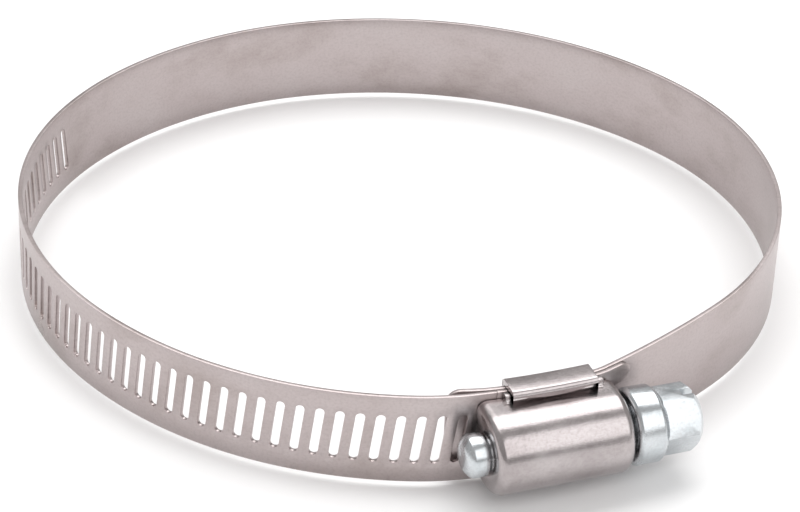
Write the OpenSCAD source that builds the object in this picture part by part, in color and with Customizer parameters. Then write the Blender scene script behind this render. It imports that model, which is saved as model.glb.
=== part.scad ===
// Worm-drive hose clamp for a 100 mm hose, in millimetres.
// Origin: centre of the hose, at mid width of the band. +Z runs along the hose.
// The housing is on the -Y side and the screw runs along X, with its head at +X.
//
// A stainless strip makes one turn round the hose. Its head end lies under the housing and its
// other end, cut with slanted slots, slides over it. A saddle strap grips the head end and the
// housing's flanges. The screw's right-hand thread drives the slots, so the loop gets smaller.
// The strip is one bent piece. Here it is two rigid halves that meet in a flex hinge at the back.

/* [Band] */
// width of the strip
band_w = 12.7; // [12.2:0.1:12.7]
// thickness of the strip
band_t = 0.6; // [0.5:0.05:0.6]
// distance from one slot to the next, which is also the thread's pitch
pitch = 2.54; // [2.5:0.01:2.6]
// length of a slot, across the strip
slot_l = 7.1; // [6.6:0.1:7.4]
// width of a slot
slot_w = 1.2; // [1.15:0.01:1.25]
// lean of a slot, to match the thread's lead angle
slot_lean = 7.4; // [6:0.1:8]
// how many closed slots the strip has
slot_count = 49; // [20:1:50]

/* [Loop] */
// radius of the hose seat, where the strip lies round the hose
seat_r = 49.75; // [49.7:0.01:49.8]
// direction from the hose centre at which the strip leaves the seat on the slotted side
seat_end = 196.46; // [196.3:0.02:196.6]
// direction at which the slotted side's long arc meets its short arc
tail_knee = 250.78; // [250.7:0.02:250.9]
// how far the straightened stretch under the screw reaches to the left, in degrees about the hinge
straight_left = 5.49; // [5.45:0.01:5.55]
// direction at which the plain side's first arc meets its second
plain_knee = 23.1; // [23:0.1:23.2]
// direction at which the plain side becomes nearly straight
plain_flat_at = -61.6; // [-61.8:0.1:-61.4]
// direction at which the nearly straight part meets the sharp bend
plain_bend_at = -69.7; // [-69.9:0.1:-69.5]
// radius of the nearly straight arc of the plain side
plain_flat_r = 150; // [145:1:155]
// inside radius of the sharp bend where the plain side leaves the saddle
plain_bend_r = 8; // [7.5:0.1:8.5]
// how far the straightened stretch reaches to the right of the housing's middle, in degrees
straight_right = 3.1; // [3.05:0.01:3.15]
// inside radius of the head end's tip, which curls away from the slotted strip
tip_r = 23; // [22:0.5:24]

/* [Screw] */
// sideways distance from the hose's centre line to the middle of the housing
housing_x = 2.9; // [2.8:0.1:3]
// distance from the slotted strip's outer face to the screw's axis
screw_gap = 3.1; // [3.05:0.01:3.15]
// radius of the thread's crest
thread_r = 3.8; // [3.7:0.05:3.8]
// radius of the core between the threads
core_r = 2.7; // [2.5:0.1:2.8]
// radius of the round collar
collar_r = 5; // [4.8:0.05:5]
// hexagon size across flats, for a 5/16 inch socket
hex_af = 7.7; // [7:0.01:7.94]
// turn of the hexagon about the screw's axis
hex_turn = 27.7; // [0:0.1:60]

/* [Housing] */
// outside radius of the rounded shell
shell_r = 5.5; // [5.4:0.01:5.6]
// thickness of the shell and of its end walls
shell_t = 0.95; // [0.9:0.05:1]
// left end of the shell along the screw
shell_left = -6.95; // [-7.05:0.05:-6.95]
// right end of the shell along the screw
shell_right = 11.3; // [11.2:0.05:11.4]
// rounding of the shell's ends
shell_round = 1.3; // [1:0.1:1.4]
// length of the flat rims that the saddle's lips hold
flange_l = 13.2; // [12:0.1:13.4]

/* [Saddle] */
// sideways distance from the hose's centre line to the middle of the strap
saddle_x = 2.7; // [2.6:0.1:2.9]
// length of the strap along the screw
saddle_l = 11.4; // [10:0.1:11.6]
// thickness of the strap under the head end
saddle_t = 0.7; // [0.6:0.05:0.7]
// thickness of the strap beside the strip
saddle_side = 0.8; // [0.7:0.05:0.9]
// depth of the folded lip at mid length
lip_depth = 1.25; // [1:0.05:1.5]

/* [Hidden] */
$fn = 96;
play = 0.1; // running clearance between the layers under the screw
hose_gap = 0.235; // from the seat's circle to the saddle, straight below the hinge
joint_gap = 0.02; // how far short of a joint the strip's arcs stop
cut = 0.01; // overlap used so that cuts pass clean through
hinge_play = 0.03;
strap_gap = 0.03; // between the head end and the strap under it
hinge = [housing_x, sqrt(pow(seat_r + band_t / 2, 2) - housing_x * housing_x)];
hinge_at = atan2(hinge.y, hinge.x);
// inside radii of the layers under the screw, all measured from the hinge
tail_in = hinge.y + seat_r + saddle_t + band_t + play + hose_gap;
head_in = tail_in - play - band_t;
saddle_in = head_in - saddle_t;
flange_in = tail_in + band_t + play;
flange_out = flange_in + shell_t;
screw_y = hinge.y - tail_in - band_t - screw_gap;
slot_phase = -1.66; // first slot's distance from the middle of the housing
open_end = 9.1; // x at which the free end's open slot starts
free_end = 14.4; // where the strip's free end stops
head_end = -10.1; // where the strip's head end stops
worm_x = [-5.2, 8.7];
collar_x = [11.9, 16.2];
collar_edge = 0.5; // bevel on the collar's left edge, which clears the bent head end
hex_end_x = 21.1;
button_x = [-10.1, -7.25];
button_r = 2.8;
button_neck_r = 2.2;
collar_neck_r = 3.1;

// ---- plane geometry of the loop -------------------------------------------------------------
// An arc is [centre, inside radius, direction at its start, direction at its end].

function ray(a) = [cos(a), sin(a)];

// centre of an arc of radius r2 that carries on smoothly from another arc at direction a
function next_centre(c, r1, r2, a) = c + (r1 - r2) * ray(a);

// radii of two arcs that join arc [c0, r0] at direction a0 to arc [c1, r1] at direction a2, and
// meet each other at direction a1
function joining_radii(c0, r0, c1, r1, a0, a1, a2) =
    let (u = ray(a1) - ray(a0))
    let (v = ray(a2) - ray(a1))
    let (w = c1 - c0 - r0 * ray(a0) + r1 * ray(a2))
    let (det = u.x * v.y - u.y * v.x)
    [(w.x * v.y - w.y * v.x) / det, (u.x * w.y - u.y * w.x) / det];

// direction, seen from the hinge, of a point of radius r at distance s right of the middle
function at_distance(s, r) = 270 + asin(s / r);

// slotted side, from the hinge round the left to the free end
tail_bend_at = 270 + straight_right;
tail_radii = joining_radii([0, 0], seat_r, hinge, tail_in, seat_end, tail_knee, 270 - straight_left);
tail_c1 = next_centre([0, 0], seat_r, tail_radii[0], seat_end);
tail_c2 = next_centre(tail_c1, tail_radii[0], tail_radii[1], tail_knee);
tail_bend_r = plain_bend_r + band_t + play;
tail_bend_end = 360 + plain_bend_at;
tail_c4 = next_centre(hinge, tail_in, tail_bend_r, tail_bend_at);
tail_flat_r = plain_flat_r + band_t + play;
tail_c5 = next_centre(tail_c4, tail_bend_r, tail_flat_r, tail_bend_end);
tail_flat_end = tail_bend_end + asin((free_end - tail_c4.x - tail_bend_r * cos(tail_bend_end)) / tail_flat_r);
tail_arcs = [
    [[0, 0], seat_r, hinge_at, seat_end],
    [tail_c1, tail_radii[0], seat_end, tail_knee],
    [tail_c2, tail_radii[1], tail_knee, 270 - straight_left],
    [hinge, tail_in, 270 - straight_left, tail_bend_at],
    [tail_c4, tail_bend_r, tail_bend_at, tail_bend_end],
    [tail_c5, tail_flat_r, tail_bend_end, tail_flat_end],
];

// plain side, from the hinge round the right to the head end's tip
bend_at = -90 + straight_right;
bend_c = next_centre(hinge, head_in, plain_bend_r, bend_at);
flat_c = next_centre(bend_c, plain_bend_r, plain_flat_r, plain_bend_at);
head_radii = joining_radii(
    [0, 0], seat_r, flat_c, plain_flat_r, hinge_at, plain_knee, plain_flat_at
);
head_c1 = next_centre([0, 0], seat_r, head_radii[0], hinge_at);
head_c2 = next_centre(head_c1, head_radii[0], head_radii[1], plain_knee);
tip_at = -93.4; // left of the saddle, so the curl starts clear of the strap
tip_c = next_centre(hinge, head_in, tip_r, tip_at);
tip_end = -90 + asin((head_end - tip_c.x) / tip_r);
head_arcs = [
    [head_c1, head_radii[0], hinge_at, plain_knee],
    [head_c2, head_radii[1], plain_knee, plain_flat_at],
    [flat_c, plain_flat_r, plain_flat_at, plain_bend_at],
    [bend_c, plain_bend_r, plain_bend_at, bend_at],
    [hinge, head_in, bend_at, tip_at],
    [tip_c, tip_r, tip_at, tip_end],
];

// ---- the strip ------------------------------------------------------------------------------

module about(c) {
    translate([c.x, c.y, 0])
        children();
}

// part of a ring about c, from radius r1 to r2 and direction a1 to a2, h high about z = 0
module ring_part(c, r1, r2, a1, a2, h) {
    about(c)
        rotate([0, 0, min(a1, a2)])
            rotate_extrude(angle = abs(a2 - a1))
                translate([r1, -h / 2])
                    square([r2 - r1, h]);
}

// a tongue inside the strip that joins the end of one arc to the start of the next
module joint_tongue(arc) {
    about(arc[0])
        rotate([0, 0, arc[3]])
            translate([arc[1] + band_t / 2, 0, 0])
                cube([band_t - 2 * joint_gap, 5 * joint_gap, band_w - 2 * joint_gap], center = true);
}

// the arcs one after another, each a hair short of its joints, which the tongues bridge
module strip(arcs) {
    last = len(arcs) - 1;
    for (i = [0 : last]) {
        arc = arcs[i];
        gap = sign(arc[3] - arc[2]) * joint_gap * 180 / PI / arc[1];
        from = arc[2] + (i > 0 ? gap : 0);
        to = arc[3] - (i < last ? gap : 0);
        ring_part(arc[0], arc[1], arc[1] + band_t, from, to, band_w);
        if (i < last)
            joint_tongue(arc);
    }
}

// a slot's outline: a straight part with round ends
module slot_outline() {
    square([slot_w, slot_l - slot_w], center = true);
    for (side = [-1, 1])
        translate([0, side * (slot_l - slot_w) / 2])
            circle(d = slot_w);
}

// cutter for one slot, at direction a of an arc
module slot_cutter(arc, a) {
    about(arc[0])
        rotate([0, 0, a])
            translate([arc[1] - band_t, 0, 0])
                rotate([-slot_lean, 0, 0])
                    rotate([90, 0, 90])
                        linear_extrude(3 * band_t)
                            slot_outline();
}

// walks back along the slotted side from the middle of the housing and cuts one slot
module slot_at(back, i) {
    arc = tail_arcs[i];
    end = i == 3 ? 270 : arc[3];
    reach = (end - arc[2]) * PI / 180 * (arc[1] + band_t / 2);
    if (back <= reach)
        slot_cutter(arc, end - back / (arc[1] + band_t / 2) * 180 / PI);
    else
        slot_at(back - reach, i - 1);
}

// the free end: two prongs with rounded tips beside an open slot
module free_end_cut() {
    open_h = slot_l + 0.3;
    prong = (band_w - open_h) / 2;
    translate([open_end, -seat_r - 6, -open_h / 2])
        cube([free_end, 8, open_h]);
    for (side = [-1, 1])
        translate([free_end - prong / 2, -seat_r + 4, side * (band_w - prong) / 2])
            rotate([90, 0, 0])
                difference() {
                    translate([0, -prong, 0])
                        cube([prong, 2 * prong, 8]);
                    translate([0, 0, -cut])
                        cylinder(d = prong, h = 8 + 2 * cut);
                }
}

module band_tail() {
    color("silver")
        difference() {
            union() {
                strip(tail_arcs);
                about(hinge)
                    cylinder(d = band_t - 2 * joint_gap, h = band_w - 2 * joint_gap, center = true);
            }
            for (k = [0 : slot_count - 1])
                slot_at(k * pitch - slot_phase - 2 * pitch, 3);
            free_end_cut();
        }
}

module band_head() {
    tip_round = 2;
    inset = tip_round - 0.02; // the rounding runs out just past the strip's edges
    color("silver")
        difference() {
            strip(head_arcs);
            about(hinge)
                cylinder(r = band_t / 2 + hinge_play, h = band_w + 2 * cut, center = true);
            for (side = [-1, 1])
                translate([head_end + inset, -seat_r + 4, side * (band_w / 2 - inset)])
                    rotate([90, 0, 0])
                        difference() {
                            translate([-2 * tip_round, side > 0 ? 0 : -2 * tip_round, 0])
                                cube([2 * tip_round, 2 * tip_round, 8]);
                            translate([0, 0, -cut])
                                cylinder(r = tip_round, h = 8 + 2 * cut);
                        }
        }
}

// ---- housing and saddle ---------------------------------------------------------------------

// a rectangle from corner a to corner b with its corners rounded to radius r
module rounded_rectangle(a, b, r) {
    translate([a.x + r, a.y])
        square([b.x - a.x - 2 * r, b.y - a.y]);
    translate([a.x, a.y + r])
        square([b.x - a.x, b.y - a.y - 2 * r]);
    for (x = [a.x + r, b.x - r], y = [a.y + r, b.y - r])
        translate([x, y])
            circle(r);
}

// half of the shell's section along the screw: distance along it, then distance from its axis
module shell_section() {
    difference() {
        rounded_rectangle([shell_left, -shell_r], [shell_right, shell_r], shell_round);
        translate([shell_left + shell_t, -shell_r])
            square([shell_right - shell_left - 2 * shell_t, 2 * shell_r - shell_t]);
        translate([shell_left - 1, -2 * shell_r])
            square([shell_t + 2, 2 * shell_r + button_neck_r + 0.05]);
        translate([shell_right - shell_t - 1, -2 * shell_r])
            square([shell_t + 2, 2 * shell_r + collar_neck_r + 0.05]);
        translate([shell_left - 1, -2 * shell_r])
            square([shell_right - shell_left + 2, 2 * shell_r]);
    }
}

module housing() {
    color("lightgray")
        difference() {
            union() {
                translate([0, screw_y, 0])
                    rotate([0, 90, 0])
                        rotate([0, 0, 180])
                            rotate_extrude(angle = 180)
                                mirror([1, -1])
                                    shell_section();
                for (side = [0, 1])
                    mirror([0, 0, side])
                        translate([0, screw_y + screw_gap + band_t, 0])
                            rotate([90, 0, 0])
                                linear_extrude(screw_gap + band_t)
                                    shell_section();
                flanges();
            }
            about(hinge)
                cylinder(r = flange_in, h = 4 * shell_r, center = true, $fn = 360);
        }
}

// flat rims of the housing that lie over the slotted strip's edges
module flanges() {
    left = at_distance(-flange_l / 2, flange_out);
    right = at_distance(flange_l / 2, flange_out);
    inner = shell_r - shell_t / 2;
    for (side = [-1, 1])
        translate([0, 0, side * (inner + band_w / 2) / 2])
            ring_part(hinge, flange_in - 0.5, flange_out, left, right, band_w / 2 - inner);
}

// section of the saddle strap: distance from the hinge, then height. The lips are left deeper
// here than they end up, and lip_edge_cut trims them.
module saddle_section() {
    half = band_w / 2 + 0.05;
    outer = half + saddle_side;
    lip_out = flange_out + saddle_side;
    trim = 0.4;
    difference() {
        rounded_rectangle([saddle_in, -outer], [lip_out, outer], 0.65);
        translate([head_in - strap_gap, -half])
            square([flange_out - head_in + strap_gap, 2 * half]);
        translate([flange_out - cut, lip_depth + trim - outer])
            square([saddle_side + 2 * cut, 2 * (outer - lip_depth - trim)]);
    }
}

// the lips are deepest at mid length, so their edges are arcs
module lip_edge_cut() {
    half = band_w / 2 + 0.05 + saddle_side;
    rise = 0.8;
    edge_r = (pow(saddle_l / 2, 2) + rise * rise) / (2 * rise);
    translate([saddle_x, hinge.y - flange_out + 0.4, 0])
        rotate([90, 0, 0])
            linear_extrude(3)
                difference() {
                    square([saddle_l + 2, 2 * (half - 0.5)], center = true);
                    for (side = [-1, 1])
                        translate([0, side * (half - lip_depth + edge_r)])
                            circle(edge_r);
                }
}

module saddle() {
    left = at_distance(saddle_x - housing_x - saddle_l / 2, head_in);
    right = at_distance(saddle_x - housing_x + saddle_l / 2, head_in);
    color("silver")
        difference() {
            about(hinge)
                rotate([0, 0, left])
                    rotate_extrude(angle = right - left)
                        saddle_section();
            lip_edge_cut();
        }
}

// ---- screw ----------------------------------------------------------------------------------

// cylinder or cone along the screw's axis between two places
module turned(x, r1, r2) {
    translate([x[0], 0, 0])
        rotate([0, 90, 0])
            cylinder(r1 = r1, r2 = r2, h = x[1] - x[0]);
}

// one ridge of the right-hand thread, with ends that run out into the core
module thread() {
    steps = 30;
    turns = (worm_x[1] - worm_x[0]) / pitch;
    count = round(turns * steps);
    start = worm_x[0] - (housing_x + slot_phase);
    root_half = 0.62;
    crest_half = 0.36;
    function fade(i) = min(1, i / (0.6 * steps), (count - i) / (0.6 * steps));
    function ring(i) =
        let (a = (start / pitch + i / steps) * 360)
        let (x = worm_x[0] + i * pitch / steps)
        let (low = core_r - 0.3)
        let (high = low + 0.05 + (thread_r - low - 0.05) * fade(i))
        [
            [x - root_half, low * cos(a), low * sin(a)],
            [x - crest_half, high * cos(a), high * sin(a)],
            [x + crest_half, high * cos(a), high * sin(a)],
            [x + root_half, low * cos(a), low * sin(a)],
        ];
    points = [for (i = [0 : count]) each ring(i)];
    sides = [
        for (i = [0 : count - 1], k = [0 : 3])
            let (m = (k + 1) % 4)
            each [
                [4 * i + m, 4 * i + 4 + k, 4 * i + k],
                [4 * i + 4 + m, 4 * i + 4 + k, 4 * i + m],
            ]
    ];
    last = 4 * count;
    ends = [[2, 1, 0], [3, 2, 0], [last, last + 1, last + 2], [last, last + 2, last + 3]];
    polyhedron(points, concat(sides, ends), convexity = 8);
}

// hexagon with a chamfered end and a slot for a flat screwdriver
module hex_head() {
    corner_r = hex_af / sqrt(3);
    clear_r = corner_r + 0.1; // passes outside the hexagon's corners
    chamfer = 1;
    difference() {
        intersection() {
            translate([collar_x[1] - cut, 0, 0])
                rotate([hex_turn, 0, 0])
                    rotate([0, 90, 0])
                        cylinder(r = corner_r, h = hex_end_x - collar_x[1] + cut, $fn = 6);
            union() {
                turned([collar_x[1] - 1, hex_end_x - chamfer], clear_r, clear_r);
                turned([hex_end_x - chamfer, hex_end_x], clear_r, hex_af / 2 - 0.6);
            }
        }
        translate([hex_end_x - 1.9, -0.65, -hex_af])
            cube([3, 1.3, 2 * hex_af]);
    }
}

module screw() {
    bevel = 0.9;
    color("gainsboro")
        translate([0, screw_y, 0]) {
            turned([button_x[0] + bevel, button_x[1]], button_r, button_r);
            turned([button_x[0], button_x[0] + bevel], button_r - 1, button_r);
            turned([button_x[1], worm_x[0] - 0.7], button_neck_r, button_neck_r);
            turned([worm_x[0] - 0.7, worm_x[1] + 0.7], core_r, core_r);
            turned([worm_x[1] + 0.7, collar_x[0]], collar_neck_r, collar_neck_r);
            turned([collar_x[0], collar_x[0] + collar_edge], collar_r - collar_edge, collar_r);
            turned([collar_x[0] + collar_edge, collar_x[1] - bevel], collar_r, collar_r);
            turned([collar_x[1] - bevel, collar_x[1]], collar_r, collar_r - bevel);
            hex_head();
            thread();
        }
}

band_head();
band_tail();
housing();
saddle();
screw();
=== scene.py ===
"""Looks of a worm-drive hose clamp: a slotted band, housing, saddle strap and screw.

The part lies flat, hose axis up (+Z), with the housing towards -Y and the screw along X.
Lengths are written in millimetres and turned into metres where a mesh is made.
"""

from math import asin, atan2, ceil, cos, degrees, pi, radians, sin, sqrt, tan

import bmesh
import bpy
from mathutils import Matrix, Vector

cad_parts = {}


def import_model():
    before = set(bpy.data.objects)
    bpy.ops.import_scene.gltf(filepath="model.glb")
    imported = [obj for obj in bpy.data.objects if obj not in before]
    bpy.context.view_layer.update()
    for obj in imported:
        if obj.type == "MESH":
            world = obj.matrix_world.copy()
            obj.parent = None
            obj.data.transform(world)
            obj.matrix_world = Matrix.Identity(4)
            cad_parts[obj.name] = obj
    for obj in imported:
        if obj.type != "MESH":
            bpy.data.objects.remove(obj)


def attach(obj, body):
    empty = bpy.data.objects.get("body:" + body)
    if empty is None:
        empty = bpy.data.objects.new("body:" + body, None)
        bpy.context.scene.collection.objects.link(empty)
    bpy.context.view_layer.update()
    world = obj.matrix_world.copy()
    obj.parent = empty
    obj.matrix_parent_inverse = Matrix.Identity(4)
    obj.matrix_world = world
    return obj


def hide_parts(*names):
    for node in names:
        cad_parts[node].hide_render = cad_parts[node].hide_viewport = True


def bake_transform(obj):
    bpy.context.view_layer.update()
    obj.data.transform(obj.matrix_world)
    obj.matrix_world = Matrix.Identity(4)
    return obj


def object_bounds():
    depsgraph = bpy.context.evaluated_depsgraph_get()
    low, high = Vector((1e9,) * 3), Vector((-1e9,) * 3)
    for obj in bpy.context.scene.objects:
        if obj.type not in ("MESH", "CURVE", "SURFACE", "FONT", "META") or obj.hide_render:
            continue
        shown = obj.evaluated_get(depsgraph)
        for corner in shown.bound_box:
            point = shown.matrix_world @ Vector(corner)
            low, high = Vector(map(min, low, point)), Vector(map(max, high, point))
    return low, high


MM = 0.001

# ---- sizes, as in the CAD part ---------------------------------------------------------------

BAND_W = 12.7
BAND_T = 0.6
PITCH = 2.54
SLOT_L = 7.1
SLOT_W = 1.2
SLOT_LEAN = radians(7.4)
SLOT_COUNT = 49
SEAT_R = 49.75
SEAT_END = 196.46  # directions of the path's joints are in degrees, as in the CAD part
TAIL_KNEE = 250.78
STRAIGHT_LEFT = 5.49
STRAIGHT_RIGHT = 3.1
PLAIN_KNEE = 23.1
PLAIN_FLAT_AT = -61.6
PLAIN_BEND_AT = -69.7
PLAIN_FLAT_R = 150
PLAIN_BEND_R = 8
TIP_AT = -93.4
TIP_R = 23
SEAT_GAP = 0.235  # from the seat's circle to the saddle
SCREW_GAP = 3.1  # from the slotted strip's outer face to the screw's axis
BEND_AT = -90 + STRAIGHT_RIGHT
HOUSING_X = 2.9
PLAY = 0.1
SADDLE_T = 0.7
SHELL_T = 0.95
SHELL_R = 5.5
SHELL_ROUND = 1.3
SHELL_LEFT = -6.95
SHELL_RIGHT = 11.3
FLANGE_L = 13.2
SADDLE_X = 2.7
SADDLE_L = 11.4
SADDLE_SIDE = 0.8
LIP_DEPTH = 1.25
BUTTON_NECK_R = 2.2
COLLAR_NECK_R = 3.1
THREAD_R = 3.8
CORE_R = 2.7
COLLAR_R = 5.0
BUTTON_R = 2.8
BUTTON_X = (-10.1, -7.25)
COLLAR_X = (11.9, 16.2)
COLLAR_EDGE = 0.5  # bevel towards the housing
COLLAR_BEVEL = 0.9  # bevel towards the hexagon
WORM_X = (-5.2, 8.7)
HEX_AF = 7.7
HEX_TURN = radians(27.7)
HEX_END = 21.1
OPEN_END = 9.1
FREE_END = 14.4
HEAD_END = -10.1
HEAD_SEAM = 7.0  # x, under the saddle, where the loop piece gives way to the head end piece
SLOT_PHASE = -1.66
HINGE = (HOUSING_X, sqrt((SEAT_R + BAND_T / 2) ** 2 - HOUSING_X**2))
TAIL_IN = HINGE[1] + SEAT_R + SADDLE_T + BAND_T + PLAY + SEAT_GAP
HEAD_IN = TAIL_IN - PLAY - BAND_T
SADDLE_IN = HEAD_IN - SADDLE_T
FLANGE_IN = TAIL_IN + BAND_T + PLAY
FLANGE_OUT = FLANGE_IN + SHELL_T
SCREW_Y = HINGE[1] - TAIL_IN - BAND_T - SCREW_GAP
BULGE = 0.62  # how far the strip's left side stands outside the CAD arcs, at most
BULGE_FROM = 100
BULGE_TO = 215
NECK_PLAY = 0.05
RIDGE_ROOT = 0.62  # half width of the thread's ridge at its foot
RIDGE_CREST = 0.36
DRIVER_SLOT_W = 1.3
DRIVER_SLOT_DEPTH = 1.9


# ---- the strip's path ------------------------------------------------------------------------
# An arc is (centre, inside radius, direction at its start, direction at its end), in degrees.


def ray(degrees_):
    a = radians(degrees_)
    return Vector((cos(a), sin(a)))


def next_centre(centre, r1, r2, at):
    return Vector(centre) + (r1 - r2) * ray(at)


def joining_radii(c0, r0, c1, r1, a0, a1, a2):
    """Radii of two arcs that join arc (c0, r0) at a0 to arc (c1, r1) at a2 and meet at a1."""
    u = ray(a1) - ray(a0)
    v = ray(a2) - ray(a1)
    w = Vector(c1) - Vector(c0) - r0 * ray(a0) + r1 * ray(a2)
    det = u.x * v.y - u.y * v.x
    return (w.x * v.y - w.y * v.x) / det, (u.x * w.y - u.y * w.x) / det


def tail_path():
    """Slotted side, from the hinge at the back round the left to the free end."""
    start = degrees(atan2(HINGE[1], HINGE[0]))
    left = 270 - STRAIGHT_LEFT
    bend = 270 + STRAIGHT_RIGHT
    long_r, short_r = joining_radii((0, 0), SEAT_R, HINGE, TAIL_IN, SEAT_END, TAIL_KNEE, left)
    c1 = next_centre((0, 0), SEAT_R, long_r, SEAT_END)
    c2 = next_centre(c1, long_r, short_r, TAIL_KNEE)
    bend_r = PLAIN_BEND_R + BAND_T + PLAY
    bend_end = 360 + PLAIN_BEND_AT
    flat_r = PLAIN_FLAT_R + BAND_T + PLAY
    c4 = next_centre(HINGE, TAIL_IN, bend_r, bend)
    c5 = next_centre(c4, bend_r, flat_r, bend_end)
    flat_end = bend_end + degrees(asin((FREE_END - c4.x - bend_r * ray(bend_end).x) / flat_r))
    return [
        (Vector((0, 0)), SEAT_R, start, SEAT_END),
        (c1, long_r, SEAT_END, TAIL_KNEE),
        (c2, short_r, TAIL_KNEE, left),
        (Vector(HINGE), TAIL_IN, left, bend),
        (c4, bend_r, bend, bend_end),
        (c5, flat_r, bend_end, flat_end),
    ]


def head_path():
    """Plain side, from the hinge round the right to the tip of the head end."""
    start = degrees(atan2(HINGE[1], HINGE[0]))
    bend_c = next_centre(HINGE, HEAD_IN, PLAIN_BEND_R, BEND_AT)
    flat_c = next_centre(bend_c, PLAIN_BEND_R, PLAIN_FLAT_R, PLAIN_BEND_AT)
    r1, r2 = joining_radii(
        (0, 0), SEAT_R, flat_c, PLAIN_FLAT_R, start, PLAIN_KNEE, PLAIN_FLAT_AT
    )
    c1 = next_centre((0, 0), SEAT_R, r1, start)
    c2 = next_centre(c1, r1, r2, PLAIN_KNEE)
    tip_c = next_centre(HINGE, HEAD_IN, TIP_R, TIP_AT)
    tip_end = -90 + degrees(asin((HEAD_END - tip_c.x) / TIP_R))
    return [
        (c1, r1, start, PLAIN_KNEE),
        (c2, r2, PLAIN_KNEE, PLAIN_FLAT_AT),
        (flat_c, PLAIN_FLAT_R, PLAIN_FLAT_AT, PLAIN_BEND_AT),
        (bend_c, PLAIN_BEND_R, PLAIN_BEND_AT, BEND_AT),
        (Vector(HINGE), HEAD_IN, BEND_AT, TIP_AT),
        (tip_c, TIP_R, TIP_AT, tip_end),
    ]


TAIL = tail_path()
HEAD = head_path()


def arc_length(arc):
    return abs(radians(arc[3] - arc[2])) * (arc[1] + BAND_T / 2)


def on_path(arcs, s):
    """Point on the inside face, and the outward direction, at distance s along the strip."""
    for arc in arcs:
        if s <= arc_length(arc) or arc is arcs[-1]:
            break
        s -= arc_length(arc)
    turn = degrees(s / (arc[1] + BAND_T / 2)) * (1 if arc[3] > arc[2] else -1)
    out = ray(arc[2] + turn)
    return arc[0] + arc[1] * out, out


def left_bulge(point):
    """How far the strip's left side stands outside the CAD arcs, in mm, faded to nothing at
    both ends of the stretch."""
    at = degrees(atan2(point.y, point.x)) % 360
    if not BULGE_FROM < at < BULGE_TO:
        return 0.0
    return BULGE * sin(pi * (at - BULGE_FROM) / (BULGE_TO - BULGE_FROM)) ** 2


def strip_point(s, z, depth):
    """A point of the strip. s is 0 at the hinge, above 0 on the slotted side and below 0 on the
    plain side. depth is 0 at the inside face."""
    point, out = on_path(TAIL, s) if s >= 0 else on_path(HEAD, -s)
    reach = depth + left_bulge(point)
    return Vector((point.x + out.x * reach, point.y + out.y * reach, z))


def distance_to(arcs, index, x):
    """Distance along the strip to the place on a hinge-centred arc where mid thickness is at x."""
    before = sum(arc_length(arc) for arc in arcs[:index])
    mid = arcs[index][1] + BAND_T / 2
    at = 270 + degrees(asin((x - HOUSING_X) / mid))
    start = arcs[index][2] % 360
    return before + abs(radians(at - start)) * mid


MIDDLE = distance_to(TAIL, 3, HOUSING_X)
FIRST_SLOT = MIDDLE + SLOT_PHASE + 2 * PITCH
# inside the housing, between two slots, the loop piece gives way to the free end piece
TAIL_SEAM = FIRST_SLOT - 4.5 * PITCH
TAIL_TOTAL = sum(arc_length(arc) for arc in TAIL)
HEAD_TOTAL = sum(arc_length(arc) for arc in HEAD)


# ---- mesh helpers ----------------------------------------------------------------------------


class Sheet:
    """Faces drawn on the flat strip, in distance along it and height, then bent and thickened."""

    def __init__(self):
        self.index = {}
        self.places = []
        self.faces = []

    def corner(self, s, z):
        key = (round(s, 3), round(z, 3))
        if key not in self.index:
            self.index[key] = len(self.places)
            self.places.append((s, z))
        return self.index[key]

    def face(self, corners):
        ids = []
        for s, z in corners:
            i = self.corner(s, z)
            if i not in ids:
                ids.append(i)
        if len(ids) > 2:
            self.faces.append(ids)

    def bent(self, name, lean, narrow):
        """The finished mesh: both faces of the strip and a wall along every free edge."""
        n = len(self.places)
        verts, uvs = [], []
        for depth in (0.0, BAND_T):
            for s, z in self.places:
                z2 = z * narrow(s)
                s2 = s + z2 * lean(s)
                verts.append(strip_point(s2, z2, depth) * MM)
                uvs.append((s2 * MM, z2 * MM))
        used = dict.fromkeys((a, b) for f in self.faces for a, b in zip(f, f[1:] + f[:1]))
        walls = [(a + n, b + n, b, a) for a, b in used if (b, a) not in used]
        inner = [tuple(f) for f in self.faces]
        outer = [tuple(i + n for i in reversed(f)) for f in self.faces]
        return solid(name, verts, inner + outer + walls, uvs)


def solid(name, verts, faces, uvs=None):
    """A mesh object from points in metres, with its faces turned outwards."""
    mesh = bpy.data.meshes.new(name)
    mesh.from_pydata([tuple(v) for v in verts], [], [tuple(f) for f in faces])
    mesh.validate()
    obj = bpy.data.objects.new(name, mesh)
    bpy.context.scene.collection.objects.link(obj)
    if uvs:
        layer = mesh.uv_layers.new(name="strip")
        for loop in mesh.loops:
            layer.data[loop.index].uv = uvs[loop.vertex_index]
    turn_outwards(obj)
    return obj


def turn_outwards(obj):
    bm = bmesh.new()
    bm.from_mesh(obj.data)
    bmesh.ops.recalc_face_normals(bm, faces=bm.faces)
    bm.to_mesh(obj.data)
    bm.free()


def finish_mesh(obj, bevel, segments=2, smooth=40):
    """Rounds the sharp edges, applies every modifier and shades the result smooth."""
    edge = obj.modifiers.new("edges", "BEVEL")
    edge.width = bevel * MM
    edge.segments = segments
    edge.limit_method = "ANGLE"
    edge.angle_limit = radians(35)
    edge.use_clamp_overlap = True
    apply_modifiers(obj)
    obj.data.shade_smooth()
    obj.data.set_sharp_from_angle(angle=radians(smooth))
    return obj


def apply_modifiers(obj):
    bpy.context.view_layer.update()
    graph = bpy.context.evaluated_depsgraph_get()
    mesh = bpy.data.meshes.new_from_object(obj.evaluated_get(graph))
    obj.modifiers.clear()
    old = obj.data
    obj.data = mesh
    bpy.data.meshes.remove(old)


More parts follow.
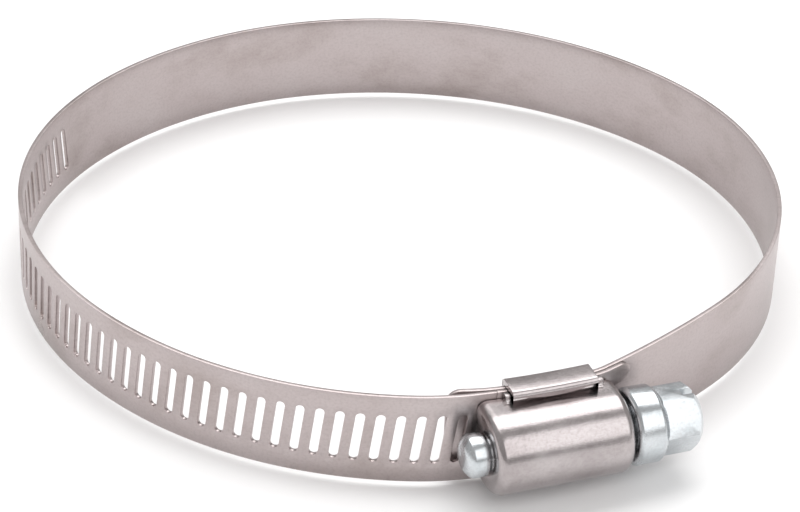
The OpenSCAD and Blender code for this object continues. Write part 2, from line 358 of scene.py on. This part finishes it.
def cut_away(obj, tool, operation="DIFFERENCE"):
    """Cuts obj with tool and removes the tool."""
    step = obj.modifiers.new("cut", "BOOLEAN")
    step.operation = operation
    step.solver = "EXACT"
    step.object = tool
    apply_modifiers(obj)
    bpy.data.objects.remove(tool)


# ---- the strip's three pieces ----------------------------------------------------------------

SIDE_END = SLOT_L / 2 - SLOT_W / 2
CAP_Z = 4.5
OPEN_Z = 3.7
ROWS = [-BAND_W / 2, -CAP_Z, -OPEN_Z, -SIDE_END, -1.4, 0, 1.4, SIDE_END, OPEN_Z, CAP_Z, BAND_W / 2]


def plain_cells(sheet, a, b, rows=ROWS, step=1.1):
    """Strip without slots, from distance a to distance b."""
    count = max(1, ceil((b - a) / step))
    for i in range(count):
        s0 = a + (b - a) * i / count
        s1 = a + (b - a) * (i + 1) / count
        for z0, z1 in zip(rows, rows[1:]):
            sheet.face([(s0, z0), (s1, z0), (s1, z1), (s0, z1)])


def slot_cell(sheet, middle):
    """One pitch of the strip with a slot through it."""
    half = PITCH / 2
    side = SLOT_W / 2 / cos(SLOT_LEAN)
    for sign in (-1, 1):
        for z0, z1 in zip(ROWS[3:7], ROWS[4:8]):
            near, far = middle + sign * side, middle + sign * half
            sheet.face([(near, z0), (far, z0), (far, z1), (near, z1)][:: sign])
        rim = [
            (half, SIDE_END), (half, OPEN_Z), (half, CAP_Z), (half / 2, CAP_Z), (0, CAP_Z),
            (-half / 2, CAP_Z), (-half, CAP_Z), (-half, OPEN_Z), (-half, SIDE_END),
        ]
        curve = [
            (side * cos(pi * k / 8), SIDE_END + SLOT_W / 2 * sin(pi * k / 8)) for k in range(9)
        ]
        for k in range(8):
            quad = [curve[k], rim[k], rim[k + 1], curve[k + 1]]
            placed = [(middle + s, sign * z) for s, z in quad]
            sheet.face(placed[::sign])
        top = rim[2:7]
        for (s0, z0), (s1, z1) in zip(top, top[1:]):
            edge = BAND_W / 2
            quad = [(s0, z0), (s0, edge), (s1, edge), (s1, z1)]
            placed = [(middle + s, sign * z) for s, z in quad]
            sheet.face(placed[::sign])


def full_width(_):
    return 1.0


def no_lean(_):
    return 0.0


def fade(s, start, end):
    """Rises smoothly from 0 at start to 1 at end."""
    t = min(1, max(0, (s - start) / (end - start)))
    return t * t * (3 - 2 * t)


def slot_middles(low, high):
    """Distances along the strip of the slots whose whole pitch lies between low and high."""
    places = [FIRST_SLOT - k * PITCH for k in range(SLOT_COUNT)]
    half = PITCH / 2 - 0.001
    return [s for s in places if low <= s - half and s + half <= high]


def band_loop():
    """The strip from under the saddle, right round the loop, to inside the housing."""
    sheet = Sheet()
    start = -distance_to_head(HEAD_SEAM)
    slots = slot_middles(0, TAIL_SEAM)
    first = min(slots) - PITCH / 2
    plain_cells(sheet, start, 0)
    plain_cells(sheet, 0, first)
    for middle in slots:
        slot_cell(sheet, middle)

    def lean(s):
        return tan(SLOT_LEAN) * fade(s, first - 12, first)

    return sheet.bent("band_loop", lean, full_width)


def distance_to_head(x):
    """Distance from the hinge along the plain side to x, under the screw."""
    mid = HEAD[4][1] + BAND_T / 2
    at = -90 + degrees(asin((x - HOUSING_X) / mid))
    return sum(arc_length(arc) for arc in HEAD[:4]) + radians(HEAD[4][2] - at) * mid


def band_head_end():
    """The head end, with round corners, from its tip to under the saddle."""
    sheet = Sheet()
    start, end = -HEAD_TOTAL, -distance_to_head(HEAD_SEAM)
    plain_cells(sheet, start, start + 2, step=0.2)
    plain_cells(sheet, start + 2, end, step=0.8)
    corner = 2.0

    def narrow(s):
        inside = corner - min(corner, s - start)
        return 1 - (corner - sqrt(corner**2 - min(inside, corner - 0.02) ** 2)) / (BAND_W / 2)

    return sheet.bent("band_head_end", no_lean, narrow)


def band_free_end():
    """The free end, from inside the housing to its forked tip."""
    sheet = Sheet()
    opening = MIDDLE + OPEN_END - HOUSING_X
    slots = slot_middles(TAIL_SEAM, opening)
    last = max(slots) + PITCH / 2
    for middle in slots:
        slot_cell(sheet, middle)
    plain_cells(sheet, last, opening, step=0.4)
    for rows in (ROWS[:3], ROWS[-3:]):
        prong(sheet, opening, TAIL_TOTAL, rows)

    def lean(s):
        return tan(SLOT_LEAN) * (1 - fade(s, last, last + 3))

    return sheet.bent("band_free_end", lean, full_width)


def prong(sheet, a, b, rows):
    """One arm of the forked free end, with a rounded tip."""
    middle = (rows[0] + rows[-1]) / 2
    r = (rows[-1] - rows[0]) / 2
    stops = [a + (b - r - a) * i / 8 for i in range(9)]
    stops += [b - r + r * sin(radians(t)) for t in (18, 36, 52, 66, 78, 86)]

    def height(s, z):
        past = max(0, s - (b - r)) / r
        return middle + (z - middle) * sqrt(max(0, 1 - past**2))

    for s0, s1 in zip(stops, stops[1:]):
        for z0, z1 in zip(rows, rows[1:]):
            corners = ((s0, z0), (s1, z0), (s1, z1), (s0, z1))
            sheet.face([(s, height(s, z)) for s, z in corners])


# ---- housing and saddle ----------------------------------------------------------------------


def shell_profile():
    """Distance along the screw and distance from its axis, from the left hole round to the
    right one, on the outside of the shell."""
    points = [(SHELL_LEFT, BUTTON_NECK_R + NECK_PLAY), (SHELL_LEFT, 3.4)]
    for k in range(9):
        a = pi - pi / 2 * k / 8
        points.append(
            (SHELL_LEFT + SHELL_ROUND * (1 + cos(a)), SHELL_R - SHELL_ROUND * (1 - sin(a)))
        )
    inner_l, inner_r = SHELL_LEFT + SHELL_ROUND, SHELL_RIGHT - SHELL_ROUND
    points += [(inner_l + (inner_r - inner_l) * k / 10, SHELL_R) for k in range(1, 10)]
    for k in range(9):
        a = pi / 2 - pi / 2 * k / 8
        points.append(
            (SHELL_RIGHT - SHELL_ROUND * (1 - cos(a)), SHELL_R - SHELL_ROUND * (1 - sin(a)))
        )
    points += [(SHELL_RIGHT, COLLAR_NECK_R + 0.9), (SHELL_RIGHT, COLLAR_NECK_R + NECK_PLAY)]
    return points


def band_side(x, r):
    """y of a circle of radius r about the hinge, at x."""
    return HINGE[1] - sqrt(r**2 - (x - HOUSING_X) ** 2)


def housing_shell():
    """The rounded cover: a revolved half with straight legs down to the slotted strip."""
    outside = shell_profile()
    legs, turns = 6, 40
    verts, faces = [], []
    for x, rho in outside:
        foot = band_side(x, FLANGE_IN + 0.02)
        top = [(x, foot + (SCREW_Y - foot) * k / legs, -rho) for k in range(legs)]
        arch = [
            (x, SCREW_Y - rho * cos(a), rho * sin(a))
            for a in (-pi / 2 + pi * k / turns for k in range(turns + 1))
        ]
        low = [(x, y, -z) for x, y, z in reversed(top)]
        verts += top + arch + low
    width = 2 * legs + turns + 1
    for i in range(len(outside) - 1):
        for j in range(width - 1):
            a = i * width + j
            faces.append((a, a + 1, a + width + 1, a + width))
    shell = solid("housing_shell", [Vector(v) * MM for v in verts], faces)
    point_away(shell, Vector((HOUSING_X, SCREW_Y, 0)) * MM)
    thick = shell.modifiers.new("wall", "SOLIDIFY")
    thick.thickness = SHELL_T * MM
    thick.offset = -1
    apply_modifiers(shell)
    return finish_mesh(shell, 0.16, 3, 50)


def point_away(obj, centre):
    """Turns all faces of an open sheet the same way, away from a point inside it."""
    votes = sum(1 if (f.center - centre).dot(f.normal) > 0 else -1 for f in obj.data.polygons)
    if votes < 0:
        obj.data.flip_normals()


def swept(name, section, left, right, steps):
    """A closed section swept about the hinge. section(x) gives (distance from hinge, z) points,
    and left and right are places along the screw."""
    verts, faces = [], []
    sections = []
    for i in range(steps + 1):
        x = left + (right - left) * i / steps
        sections.append([(x, rho, z) for rho, z in section(x)])
    n = len(sections[0])
    for ring in sections:
        for x, rho, z in ring:
            verts.append(Vector((x, band_side(x, rho), z)) * MM)
    for i in range(steps):
        for j in range(n):
            k = (j + 1) % n
            faces.append((i * n + j, i * n + k, (i + 1) * n + k, (i + 1) * n + j))
    faces.append(tuple(range(n)))
    faces.append(tuple(reversed(range(steps * n, steps * n + n))))
    return solid(name, verts, faces)


def quarter(centre, r, start, end, steps=6):
    """Points of an arc of a section, about (distance from hinge, z), in degrees."""
    for k in range(steps + 1):
        a = radians(start + (end - start) * k / steps)
        yield (centre[0] + r * cos(a), centre[1] + r * sin(a))


def housing_flange(side):
    """Rim over one edge of the slotted strip, filleted into the cover's leg."""
    fillet = 0.45
    inner = SHELL_R - SHELL_T + 0.15

    def section(x):
        points = [(FLANGE_IN, inner), (FLANGE_IN, BAND_W / 2), (FLANGE_OUT, BAND_W / 2)]
        points += quarter((FLANGE_OUT + fillet, SHELL_R + fillet), fillet, 180, 270, 5)
        points.append((FLANGE_OUT + fillet, inner))
        return [(rho, side * z) for rho, z in points]

    name = "housing_flange_upper" if side > 0 else "housing_flange_lower"
    piece = swept(name, section, HOUSING_X - FLANGE_L / 2, HOUSING_X + FLANGE_L / 2, 24)
    return finish_mesh(piece, 0.2, 3)


def saddle_strap():
    """Strap under the head end, up past both edges and folded over the housing's rims."""
    half = BAND_W / 2 + 0.05
    outer = half + SADDLE_SIDE
    lip_out = FLANGE_OUT + SADDLE_SIDE
    r = 0.65
    rise = 0.8
    edge_r = ((SADDLE_L / 2) ** 2 + rise**2) / (2 * rise)

    def lip_z(x):
        across = x - SADDLE_X
        return outer - LIP_DEPTH + (edge_r - sqrt(edge_r**2 - across**2)) * 0.85

    def section(x):
        lip = lip_z(x)
        upper = [(SADDLE_IN, 0), (SADDLE_IN, outer - r)]
        upper += quarter((SADDLE_IN + r, outer - r), r, 180, 90)
        upper += quarter((lip_out - r, outer - r), r, 90, 0)
        upper += [(lip_out, lip), (FLANGE_OUT + 0.02, lip)]
        upper += [(FLANGE_OUT + 0.02, half), (HEAD_IN - 0.02, half)]
        lower = [(rho, -z) for rho, z in reversed(upper) if z > 0]
        inside = [(HEAD_IN - 0.02, 0)]
        return upper + inside + lower

    strap = swept(
        "saddle_strap", section, SADDLE_X - SADDLE_L / 2, SADDLE_X + SADDLE_L / 2, 28
    )
    return finish_mesh(strap, 0.17, 3)


# ---- screw -----------------------------------------------------------------------------------


def lathe(name, profile, segments=96):
    """Turns a profile of (x, radius) points about the screw's axis, closed at both ends."""
    verts, faces = [], []
    for x, r in profile:
        for k in range(segments):
            a = 2 * pi * k / segments
            verts.append(Vector((x, SCREW_Y + r * cos(a), r * sin(a))) * MM)
    for i in range(len(profile) - 1):
        for k in range(segments):
            m = (k + 1) % segments
            faces.append(
                (i * segments + k, i * segments + m, (i + 1) * segments + m, (i + 1) * segments + k)
            )
    faces.append(tuple(range(segments)))
    faces.append(tuple(reversed(range((len(profile) - 1) * segments, len(profile) * segments))))
    return solid(name, verts, faces)


def screw_shank():
    button, worm, collar = BUTTON_X, WORM_X, COLLAR_X
    profile = [
        (button[0], BUTTON_R - 1.4),
        (button[0] + 0.2, BUTTON_R - 0.85),
        (button[0] + 0.75, BUTTON_R - 0.18),
        (button[0] + 1.1, BUTTON_R),
        (button[1] - 0.1, BUTTON_R),
        (button[1], BUTTON_NECK_R),
        (worm[0] - 0.75, BUTTON_NECK_R),
        (worm[0] - 0.7, CORE_R),
        (worm[1] + 0.65, CORE_R),
        (worm[1] + 0.7, COLLAR_NECK_R),
        (collar[0] - 0.05, COLLAR_NECK_R),
        (collar[0], COLLAR_R - COLLAR_EDGE),
        (collar[0] + COLLAR_EDGE, COLLAR_R),
        (collar[1] - COLLAR_BEVEL, COLLAR_R),
        (collar[1], COLLAR_R - COLLAR_BEVEL),
    ]
    return finish_mesh(lathe("screw_shank", profile), 0.14, 3, 45)


def screw_thread():
    """One right-hand ridge, thinner at its crest, that runs out into the core at both ends."""
    start, end = WORM_X
    per_turn = 48
    count = round((end - start) / PITCH * per_turn)
    first_turn = (start - HOUSING_X - SLOT_PHASE) / PITCH
    foot = CORE_R - 0.3
    verts, faces = [], []
    for i in range(count + 1):
        a = 2 * pi * (first_turn + i / per_turn)
        run = min(1, i / (0.6 * per_turn), (count - i) / (0.6 * per_turn))
        high = CORE_R - 0.25 + (THREAD_R - CORE_R + 0.25) * run
        x = start + i * PITCH / per_turn
        ridge = (
            (-RIDGE_ROOT, foot), (-RIDGE_CREST, high), (RIDGE_CREST, high), (RIDGE_ROOT, foot),
        )
        for offset, r in ridge:
            verts.append(Vector((x + offset, SCREW_Y + r * cos(a), r * sin(a))) * MM)
    for i in range(count):
        for j in range(4):
            k = (j + 1) % 4
            faces.append((4 * i + j, 4 * i + k, 4 * i + 4 + k, 4 * i + 4 + j))
    faces.append((0, 1, 2, 3))
    faces.append(tuple(4 * count + j for j in (3, 2, 1, 0)))
    return finish_mesh(solid("screw_thread", verts, faces), 0.1, 2)


def screw_hex():
    """Hexagon with a chamfered end and a driver slot across it."""
    corner = HEX_AF / sqrt(3)
    head = solid_prism("screw_hex", corner, 6, HEX_TURN, COLLAR_X[1] - 0.3, HEX_END)
    outline = [
        (COLLAR_X[1] - 1, corner + 0.3),
        (HEX_END - 1, corner + 0.06),
        (HEX_END, HEX_AF / 2 - 0.5),
    ]
    cone = lathe("cone", outline)
    cut_away(head, cone, "INTERSECT")
    half = DRIVER_SLOT_W / 2
    low = (HEX_END - DRIVER_SLOT_DEPTH, SCREW_Y - half, -6)
    slot = block("slot", low, (HEX_END + 2, SCREW_Y + half, 6))
    cut_away(head, slot)
    return finish_mesh(head, 0.14, 3)


def solid_prism(name, r, sides, turn, x0, x1):
    verts = []
    for x in (x0, x1):
        for k in range(sides):
            a = 2 * pi * k / sides - turn
            verts.append(Vector((x, SCREW_Y + r * sin(a), r * cos(a))) * MM)
    faces = [(k, (k + 1) % sides, sides + (k + 1) % sides, sides + k) for k in range(sides)]
    faces += [tuple(range(sides)), tuple(reversed(range(sides, 2 * sides)))]
    return solid(name, verts, faces)


def block(name, low, high):
    verts = [Vector((x, y, z)) * MM for x in (low[0], high[0]) for y in (low[1], high[1])
             for z in (low[2], high[2])]
    faces = [(0, 1, 3, 2), (4, 6, 7, 5), (0, 4, 5, 1), (2, 3, 7, 6), (0, 2, 6, 4), (1, 5, 7, 3)]
    return solid(name, verts, faces)


# ---- materials -------------------------------------------------------------------------------


class Nodes:
    """Short names for building a node tree."""

    def __init__(self, tree):
        self.tree = tree

    def add(self, kind, **values):
        node = self.tree.nodes.new(kind)
        for key, value in values.items():
            if hasattr(node, key):
                setattr(node, key, value)
            else:
                node.inputs[key.replace("_", " ")].default_value = value
        return node

    def link(self, a, b):
        self.tree.links.new(a, b)

    def noise(self, vector, scale, detail=4, rough=0.55):
        node = self.add("ShaderNodeTexNoise", Scale=scale, Detail=detail, Roughness=rough)
        self.link(vector, node.inputs["Vector"])
        return node.outputs["Fac"]

    def ramp(self, value, stops):
        node = self.add("ShaderNodeValToRGB")
        ramp = node.color_ramp
        while len(ramp.elements) < len(stops):
            ramp.elements.new(0.5)
        for element, (place, colour) in zip(ramp.elements, stops):
            element.position = place
            element.color = (*colour, 1)
        self.link(value, node.inputs["Fac"])
        return node.outputs["Color"]

    def between(self, value, low, high):
        node = self.add("ShaderNodeMapRange")
        node.inputs["From Min"].default_value = 0.3
        node.inputs["From Max"].default_value = 0.7
        node.inputs["To Min"].default_value = low
        node.inputs["To Max"].default_value = high
        self.link(value, node.inputs["Value"])
        return node.outputs["Result"]

    def stretched(self, vector, factors):
        node = self.add("ShaderNodeMapping")
        node.inputs["Scale"].default_value = factors
        self.link(vector, node.inputs["Vector"])
        return node.outputs["Vector"]

    def darker(self, colour, shade, amount):
        node = self.add("ShaderNodeMix", data_type="RGBA", blend_type="MULTIPLY")
        node.inputs["Factor"].default_value = amount
        self.link(colour, node.inputs["A"])
        self.link(shade, node.inputs["B"])
        return node.outputs["Result"]


def metal(name, tones, rough, grain, use_strip=False, cloud=70, grain_scale=900, bump=0.08):
    """Satin metal: cloudy stains in the colour, fine grain along one way, uneven gloss."""
    mat = bpy.data.materials.new(name)
    mat.use_nodes = True
    n = Nodes(mat.node_tree)
    shader = mat.node_tree.nodes["Principled BSDF"]
    shader.inputs["Metallic"].default_value = 1.0
    place = n.add("ShaderNodeTexCoord")
    vector = place.outputs["UV" if use_strip else "Object"]
    clouds = n.noise(n.stretched(vector, (1, 1.6, 1)), cloud, 5, 0.6)
    colour = n.ramp(clouds, [(0.28, tones[0]), (0.5, tones[1]), (0.74, tones[2])])
    streaks = n.noise(n.stretched(vector, grain), grain_scale, 3, 0.6)
    speck = n.ramp(n.noise(vector, 2600, 2), [(0.3, (0.82, 0.8, 0.8)), (0.55, (1, 1, 1))])
    colour = n.darker(colour, n.ramp(streaks, [(0.25, (0.86,) * 3), (0.75, (1, 1, 1))]), 0.7)
    colour = n.darker(colour, speck, 0.5)
    n.link(colour, shader.inputs["Base Color"])
    n.link(n.between(clouds, rough[0], rough[1]), shader.inputs["Roughness"])
    relief = n.add("ShaderNodeBump")
    relief.inputs["Strength"].default_value = bump
    relief.inputs["Distance"].default_value = 0.00008
    n.link(streaks, relief.inputs["Height"])
    n.link(relief.outputs["Normal"], shader.inputs["Normal"])
    return mat


def dress(obj, body, slot, material, *nodes):
    obj.data.materials.clear()
    obj.data.materials.append(material)
    if body:
        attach(obj, body)
    if nodes:
        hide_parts(*nodes)


# ---- studio ----------------------------------------------------------------------------------


def floor(z):
    size = 3.0
    verts = [(-size, -size, z), (size, -size, z), (size, size, z), (-size, size, z)]
    obj = solid("floor", verts, [(0, 1, 2, 3)])
    mat = bpy.data.materials.new("floor_paper")
    mat.use_nodes = True
    n = Nodes(mat.node_tree)
    shader = mat.node_tree.nodes["Principled BSDF"]
    shader.inputs["Roughness"].default_value = 0.9
    place = n.add("ShaderNodeTexCoord")
    tone = n.ramp(
        n.noise(place.outputs["Object"], 3, 3), [(0.3, (0.93,) * 3), (0.7, (0.96,) * 3)]
    )
    n.link(tone, shader.inputs["Base Color"])
    obj.data.materials.append(mat)
    return obj


def softbox(name, place, target, size, power, colour=(1, 1, 1)):
    light = bpy.data.lights.new(name, "AREA")
    light.shape = "RECTANGLE"
    light.size, light.size_y = size
    light.energy = power
    light.color = colour
    obj = bpy.data.objects.new(name, light)
    bpy.context.scene.collection.objects.link(obj)
    obj.location = place
    way = Vector(target) - Vector(place)
    obj.rotation_euler = way.to_track_quat("-Z", "Y").to_euler()
    return obj


def camera():
    data = bpy.data.cameras.new("camera")
    data.sensor_width = 36
    data.lens = 2825.11 / 800 * 36
    data.clip_start = 0.01
    obj = bpy.data.objects.new("camera", data)
    bpy.context.scene.collection.objects.link(obj)
    right = Vector((0.93965, -0.34053, 0.03327))
    up = Vector((0.15273, 0.50445, 0.84982))
    back = Vector((-0.30617, -0.79345, 0.52601))
    turn = Matrix((right, up, back)).transposed().to_4x4()
    obj.matrix_world = Matrix.Translation(Vector((-119.76, -315.6, 203.55)) * MM) @ turn
    bpy.context.scene.camera = obj


def world():
    sky = bpy.data.worlds.new("studio")
    bpy.context.scene.world = sky
    sky.use_nodes = True
    fill = sky.node_tree.nodes["Background"]
    fill.inputs["Color"].default_value = (1, 0.985, 0.98, 1)
    fill.inputs["Strength"].default_value = 0.5


# ---- the scene -------------------------------------------------------------------------------

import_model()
cad_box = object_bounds()

band_steel = metal(
    "band_steel",
    ((0.37, 0.315, 0.3), (0.5, 0.44, 0.435), (0.56, 0.505, 0.5)),
    (0.26, 0.42), (1, 14, 1), use_strip=True, cloud=55,
)
pressed_steel = metal(
    "pressed_steel",
    ((0.37, 0.33, 0.33), (0.47, 0.43, 0.43), (0.54, 0.5, 0.5)),
    (0.17, 0.27), (1, 8, 8), cloud=160,
)
zinc = metal(
    "zinc_plate",
    ((0.52, 0.56, 0.58), (0.63, 0.66, 0.68), (0.7, 0.73, 0.75)),
    (0.2, 0.3), (1, 3, 3), cloud=260, bump=0.06,
)

loop = finish_mesh(band_loop(), 0.07, 2, 40)
dress(loop, None, "band_steel", band_steel)
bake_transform(loop)
head_end = finish_mesh(band_head_end(), 0.07, 2, 40)
dress(head_end, "frame", "band_steel", band_steel, "band_head")
free_end = finish_mesh(band_free_end(), 0.07, 2, 40)
dress(free_end, "slotted_half", "band_steel", band_steel, "band_tail")

dress(housing_shell(), "frame", "housing_steel", pressed_steel, "housing")
for side in (-1, 1):
    dress(housing_flange(side), "frame", "housing_steel", pressed_steel)
dress(saddle_strap(), "frame", "saddle_steel", pressed_steel, "saddle")
dress(screw_shank(), "worm", "screw_zinc", zinc, "screw")
dress(screw_thread(), "worm", "screw_zinc", zinc)
dress(screw_hex(), "worm", "screw_zinc", zinc)

floor(cad_box[0][2])
world()
camera()
softbox("overhead", (0.02, 0.34, 0.84), (0, 0, 0), (1.3, 0.76), 8)
softbox("front", (0.15, -0.74, 0.58), (0, 0, 0), (1.3, 0.8), 4.4)
bpy.context.scene.view_settings.view_transform = "Standard"
